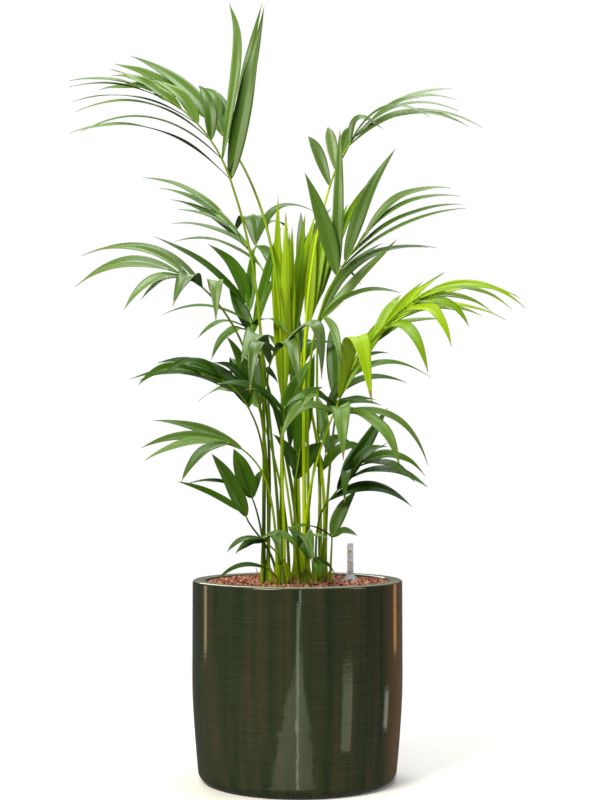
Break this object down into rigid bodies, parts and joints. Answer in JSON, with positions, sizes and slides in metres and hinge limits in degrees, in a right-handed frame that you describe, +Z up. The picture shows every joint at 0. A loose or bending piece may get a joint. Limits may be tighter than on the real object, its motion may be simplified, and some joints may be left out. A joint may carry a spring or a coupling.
{
  "type": "kentia palm in a planter",
  "caption": "Clump of slender palm stalks with arching feather fronds on a bed of clay granules in a round glazed planter with a water gauge.",
  "frame": {"origin": "centre of the planter's flat underside", "axes": "+Z up along the planter's axis; -Y is the front, the side with the low drooping fronds; +X is to the right seen from the front, the side with the lime frond"},
  "size_m": [0.8812, 0.8062, 1.627],
  "materials": {
    "glazed_ceramic": "glazed ceramic, glossy, fine brushed rings",
    "clay_granules": "fired clay balls, matt",
    "clear_plastic": "clear moulded plastic",
    "grey_plastic": "moulded, satin",
    "red_plastic": "moulded, glossy",
    "fibrous_cane": "brown fibrous sheath over green",
    "green_stalk": "smooth, waxy",
    "green_leaf": "waxy leaf, satin",
    "lime_leaf": "young waxy leaf, satin"
  },
  "bodies": {
    "root": {"cane_1": "fibrous_cane", "cane_2": "fibrous_cane", "cane_3": "fibrous_cane", "cane_4": "fibrous_cane", "cane_5": "fibrous_cane", "frond_arched_left": "green_leaf", "frond_back_centre": "green_leaf", "frond_back_low_left": "green_leaf", "frond_back_low_right": "green_leaf", "frond_back_middle": "green_leaf", "frond_back_right": "green_leaf", "frond_front_centre": "green_leaf", "frond_front_right": "green_leaf", "frond_ground_left": "green_leaf", "frond_ground_right": "green_leaf", "frond_inner_centre": "green_leaf", "frond_inner_front": "green_leaf", "frond_lime_centre": "lime_leaf", "frond_lime_centre_right": "lime_leaf", "frond_lime_right": "lime_leaf", "frond_low_left": "green_leaf", "frond_low_right": "green_leaf", "frond_low_right_back": "green_leaf", "frond_mid_left": "green_leaf", "frond_mid_right": "green_leaf", "frond_oval_left": "green_leaf", "frond_skirt_front": "green_leaf", "frond_skirt_left": "green_leaf", "frond_skirt_right": "green_leaf", "frond_spear_left": "green_leaf", "frond_tall_left": "green_leaf", "frond_tall_left_back": "green_leaf", "frond_tall_right": "green_leaf", "frond_upper_left_back": "green_leaf", "frond_upper_right": "green_leaf", "frond_weeping_left": "green_leaf", "gauge_cap": "grey_plastic", "gauge_float": "red_plastic", "gauge_tube": "clear_plastic", "granule_bed": "clay_granules", "pot": "glazed_ceramic", "stalk_arched_left": "green_stalk", "stalk_back_centre": "green_stalk", "stalk_back_low_left": "green_stalk", "stalk_back_low_right": "green_stalk", "stalk_back_middle": "green_stalk", "stalk_back_right": "green_stalk", "stalk_front_centre": "green_stalk", "stalk_front_right": "green_stalk", "stalk_lime_right": "green_stalk", "stalk_low_right": "green_stalk", "stalk_low_right_back": "green_stalk", "stalk_mid_left": "green_stalk", "stalk_mid_right": "green_stalk", "stalk_tall_left": "green_stalk", "stalk_tall_left_back": "green_stalk", "stalk_tall_right": "green_stalk", "stalk_upper_left_back": "green_stalk", "stalk_upper_right": "green_stalk", "stalk_weeping_left": "green_stalk"}
  },
  "joints": []
}
